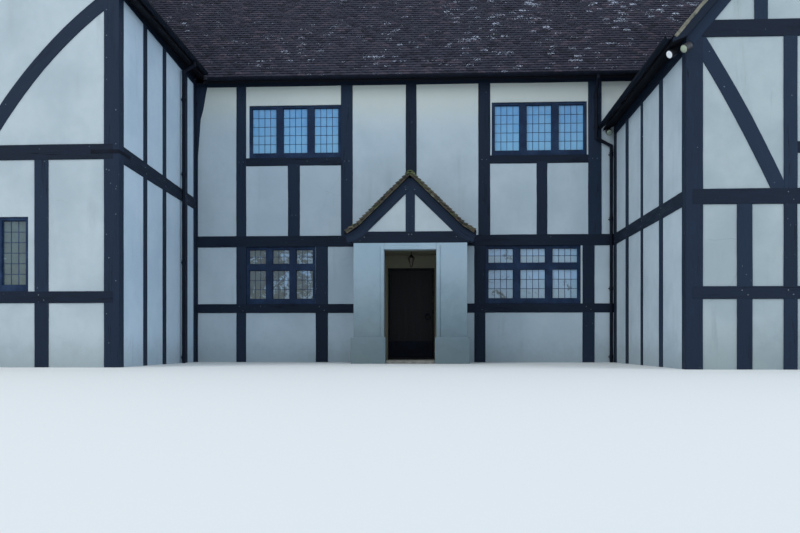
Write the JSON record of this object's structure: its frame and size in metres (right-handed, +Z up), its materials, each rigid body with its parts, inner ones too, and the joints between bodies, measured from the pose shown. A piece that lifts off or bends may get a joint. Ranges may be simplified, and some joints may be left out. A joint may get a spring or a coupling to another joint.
{
  "type": "half timbered house",
  "caption": "Two-storey half timbered house with a hall range between two gabled wings, a gabled porch with a hinged plank door, leaded windows and tiled roofs.",
  "frame": {"origin": "middle of the house's box at ground level", "axes": "+X right along the hall front, +Y away from the court and into the hall, +Z up"},
  "size_m": [20.768, 11.0289, 10.0761],
  "materials": {
    "timber": "old oak painted near black, satin",
    "joinery": "window joinery painted near black, satin",
    "plaster": "limewashed render, matte, faintly stained",
    "roof_tile": "weathered clay peg tiles with lichen",
    "porch_tile": "mossy clay peg tiles",
    "glass": "leaded window glass",
    "floor_board": "floor boards, matte",
    "stone": "worn threshold stone",
    "door_oak": "planks painted black, satin",
    "iron": "black painted iron",
    "lantern_metal": "dark bronze paint",
    "lamp_shell": "pale grey enamel"
  },
  "bodies": {
    "house": {"hall_front_frame": "timber", "hall_front_plaster": "plaster", "over_door_frame": "timber", "over_door_plaster": "plaster", "hall_eaves_plate": "timber", "wall_over_right_wing": "plaster", "hall_back_frame": "timber", "hall_back_plaster": "plaster", "left_wing_gable_frames": "timber", "left_wing_gable_plaster": "plaster", "left_wing_side_frames": "timber", "left_wing_side_plaster": "plaster", "right_gable_frames": "timber", "right_gable_plaster": "plaster", "right_wing_side_frames": "timber", "right_wing_side_plaster": "plaster", "ground_window_frames": "joinery", "upper_window_frames": "joinery", "ground_glass": "glass", "upper_glass": "glass", "left_roof_outer": "roof_tile", "left_roof_inner": "roof_tile", "hall_roof_front": "roof_tile", "hall_roof_back": "roof_tile", "right_roof_inner": "roof_tile", "right_roof_outer": "roof_tile", "left_wing_floors": "floor_board", "hall_floors": "floor_board", "right_wing_floors": "floor_board", "porch_piers": "plaster", "porch_side_walls": "plaster", "porch_lintel": "plaster", "porch_ceiling": "plaster", "porch_side_plates": "timber", "porch_gable_frame": "timber", "porch_gable_plaster": "plaster", "porch_roof_left": "porch_tile", "porch_roof_right": "porch_tile", "porch_threshold": "stone", "lantern": "lantern_metal", "door_frame": "timber", "gutters": "iron", "downpipes": "iron", "flood_lamps": "lamp_shell", "corner_strap": "iron"},
    "door": {"front_door": "door_oak", "door_kick_board": "door_oak", "door_ring_handle": "iron"}
  },
  "joints": [
    {"name": "front_door_hinge", "type": "hinge", "parent": "house", "child": "door", "pos_m": [0.072, -0.3745, 1], "axis": [0, 0, 1], "range_deg": [0, 90]}
  ]
}
